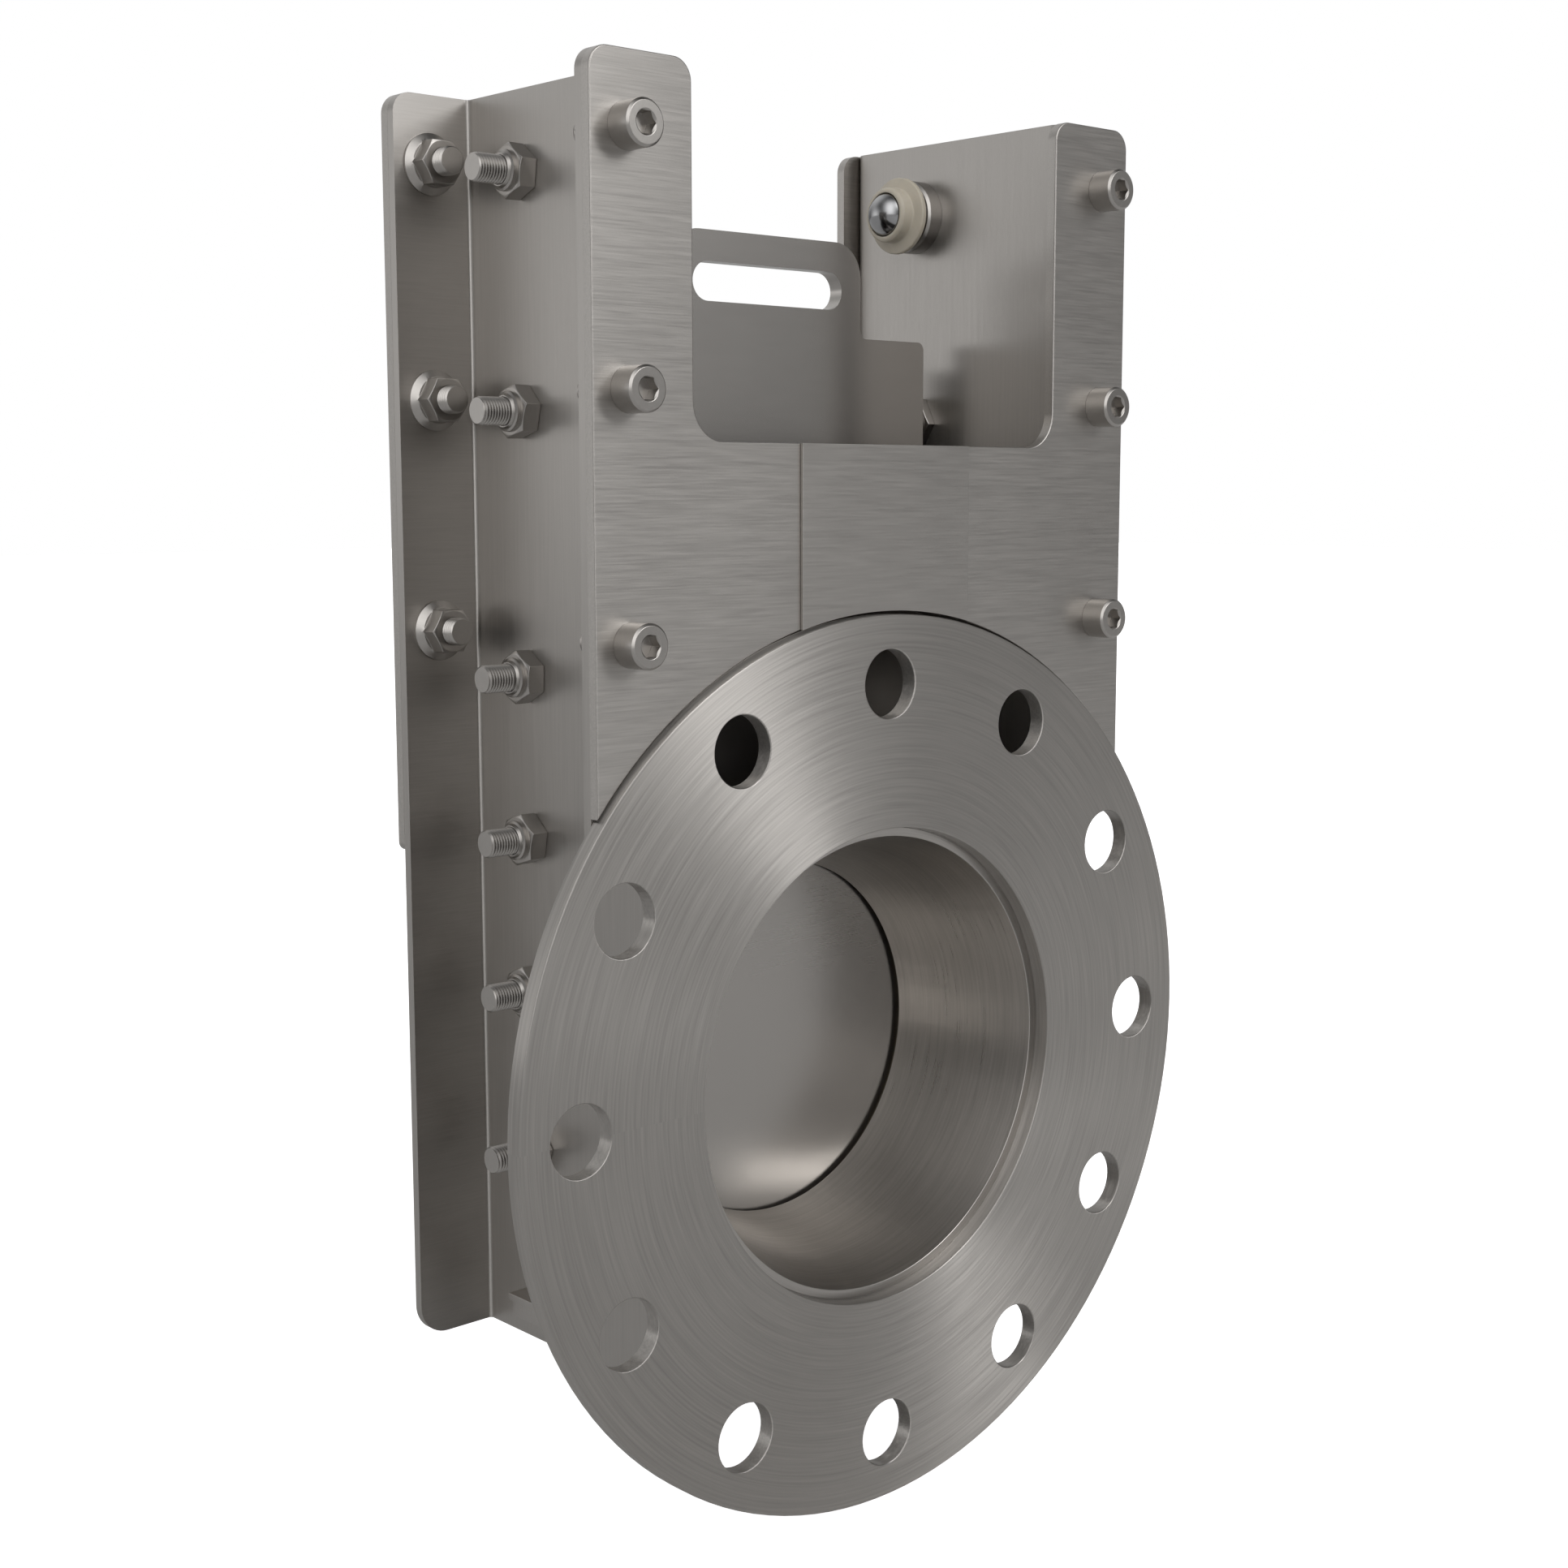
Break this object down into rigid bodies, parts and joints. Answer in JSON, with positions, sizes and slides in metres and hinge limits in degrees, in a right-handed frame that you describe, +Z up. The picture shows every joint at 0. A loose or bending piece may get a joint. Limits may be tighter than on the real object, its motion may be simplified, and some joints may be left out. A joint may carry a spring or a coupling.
{
  "type": "slide gate valve",
  "caption": "Flanged slide gate valve: a plate gate with a hand slot lifts between side channels on ball transfer guides, over a tapered round inlet.",
  "frame": {"origin": "centre of the inlet flange's front face", "axes": "+Y runs with the flow into the valve, +Z up along the gate's travel, +X to the right seen from the flange"},
  "size_m": [0.3174, 0.1458, 0.4912],
  "materials": {
    "plate_steel": "brushed along the width",
    "channel_steel": "brushed along the height",
    "flange_steel": "brushed in circles",
    "turned_steel": "fine turned",
    "gate_steel": "fine brushed, half gloss",
    "smooth_steel": "satin",
    "fastener_steel": "polished",
    "ball_chrome": "polished",
    "nylon": "natural nylon, satin"
  },
  "bodies": {
    "valve_body": {"front_plate": "plate_steel", "name_plate": "smooth_steel", "back_plate": "plate_steel", "lower_back_plate": "plate_steel", "bottom_plate": "plate_steel", "left_channel": "channel_steel", "right_channel": "channel_steel", "front_flange": "flange_steel", "inlet_spout": "turned_steel", "inlet_weld": "turned_steel", "seat_ring": "nylon", "outlet_stub": "turned_steel", "outlet_weld": "turned_steel", "stop_bar": "smooth_steel", "stop_strip": "smooth_steel", "front_screws": "fastener_steel", "rear_screws": "fastener_steel", "front_nuts": "fastener_steel", "rear_nuts": "fastener_steel", "guide_studs_left": "fastener_steel", "guide_studs_right": "fastener_steel", "lock_nuts_left": "fastener_steel", "lock_nuts_right": "fastener_steel", "jam_nuts_left": "fastener_steel", "jam_nuts_right": "fastener_steel", "ball_housings_left": "nylon", "ball_housings_right": "nylon"},
    "gate": {"gate_plate": "gate_steel", "runner_left": "smooth_steel", "runner_right": "smooth_steel", "gate_foot": "smooth_steel", "runner_screws": "fastener_steel"},
    "left_ball_1": {"ball_left_1": "ball_chrome"},
    "left_ball_2": {"ball_left_2": "ball_chrome"},
    "left_ball_3": {"ball_left_3": "ball_chrome"},
    "left_ball_4": {"ball_left_4": "ball_chrome"},
    "left_ball_5": {"ball_left_5": "ball_chrome"},
    "left_ball_6": {"ball_left_6": "ball_chrome"},
    "right_ball_1": {"ball_right_1": "ball_chrome"},
    "right_ball_2": {"ball_right_2": "ball_chrome"},
    "right_ball_3": {"ball_right_3": "ball_chrome"},
    "right_ball_4": {"ball_right_4": "ball_chrome"},
    "right_ball_5": {"ball_right_5": "ball_chrome"},
    "right_ball_6": {"ball_right_6": "ball_chrome"}
  },
  "joints": [
    {"name": "gate_slide", "type": "slide", "parent": "valve_body", "child": "gate", "axis": [0, 0, 1], "range_m": [0, 0.155]},
    {"name": "left_roll_1", "type": "hinge", "parent": "valve_body", "child": "left_ball_1", "pos_m": [-0.0772, 0.0785, 0.3055], "axis": [0, 1, 0], "continuous": true},
    {"name": "left_roll_2", "type": "hinge", "parent": "valve_body", "child": "left_ball_2", "pos_m": [-0.0772, 0.0785, 0.2272], "axis": [0, 1, 0], "continuous": true},
    {"name": "left_roll_3", "type": "hinge", "parent": "valve_body", "child": "left_ball_3", "pos_m": [-0.0772, 0.0785, 0.1382], "axis": [0, 1, 0], "continuous": true},
    {"name": "left_roll_4", "type": "hinge", "parent": "valve_body", "child": "left_ball_4", "pos_m": [-0.0772, 0.0785, 0.0824], "axis": [0, 1, 0], "continuous": true},
    {"name": "left_roll_5", "type": "hinge", "parent": "valve_body", "child": "left_ball_5", "pos_m": [-0.0772, 0.0785, 0.029], "axis": [0, 1, 0], "continuous": true},
    {"name": "left_roll_6", "type": "hinge", "parent": "valve_body", "child": "left_ball_6", "pos_m": [-0.0772, 0.0785, -0.028], "axis": [0, 1, 0], "continuous": true},
    {"name": "right_roll_1", "type": "hinge", "parent": "valve_body", "child": "right_ball_1", "pos_m": [0.0772, 0.0785, 0.3055], "axis": [0, 1, 0], "continuous": true},
    {"name": "right_roll_2", "type": "hinge", "parent": "valve_body", "child": "right_ball_2", "pos_m": [0.0772, 0.0785, 0.2272], "axis": [0, 1, 0], "continuous": true},
    {"name": "right_roll_3", "type": "hinge", "parent": "valve_body", "child": "right_ball_3", "pos_m": [0.0772, 0.0785, 0.1382], "axis": [0, 1, 0], "continuous": true},
    {"name": "right_roll_4", "type": "hinge", "parent": "valve_body", "child": "right_ball_4", "pos_m": [0.0772, 0.0785, 0.0824], "axis": [0, 1, 0], "continuous": true},
    {"name": "right_roll_5", "type": "hinge", "parent": "valve_body", "child": "right_ball_5", "pos_m": [0.0772, 0.0785, 0.029], "axis": [0, 1, 0], "continuous": true},
    {"name": "right_roll_6", "type": "hinge", "parent": "valve_body", "child": "right_ball_6", "pos_m": [0.0772, 0.0785, -0.028], "axis": [0, 1, 0], "continuous": true}
  ],
  "couplings": [
    {"joint": "left_roll_2", "follows": "gate_slide", "rad_per_m": -117.65},
    {"joint": "left_roll_3", "follows": "gate_slide", "rad_per_m": -117.65},
    {"joint": "left_roll_4", "follows": "gate_slide", "rad_per_m": -117.65},
    {"joint": "left_roll_5", "follows": "gate_slide", "rad_per_m": -117.65},
    {"joint": "left_roll_6", "follows": "gate_slide", "rad_per_m": -117.65},
    {"joint": "right_roll_2", "follows": "gate_slide", "rad_per_m": 117.65},
    {"joint": "right_roll_3", "follows": "gate_slide", "rad_per_m": 117.65},
    {"joint": "right_roll_4", "follows": "gate_slide", "rad_per_m": 117.65},
    {"joint": "right_roll_5", "follows": "gate_slide", "rad_per_m": 117.65},
    {"joint": "right_roll_6", "follows": "gate_slide", "rad_per_m": 117.65}
  ]
}
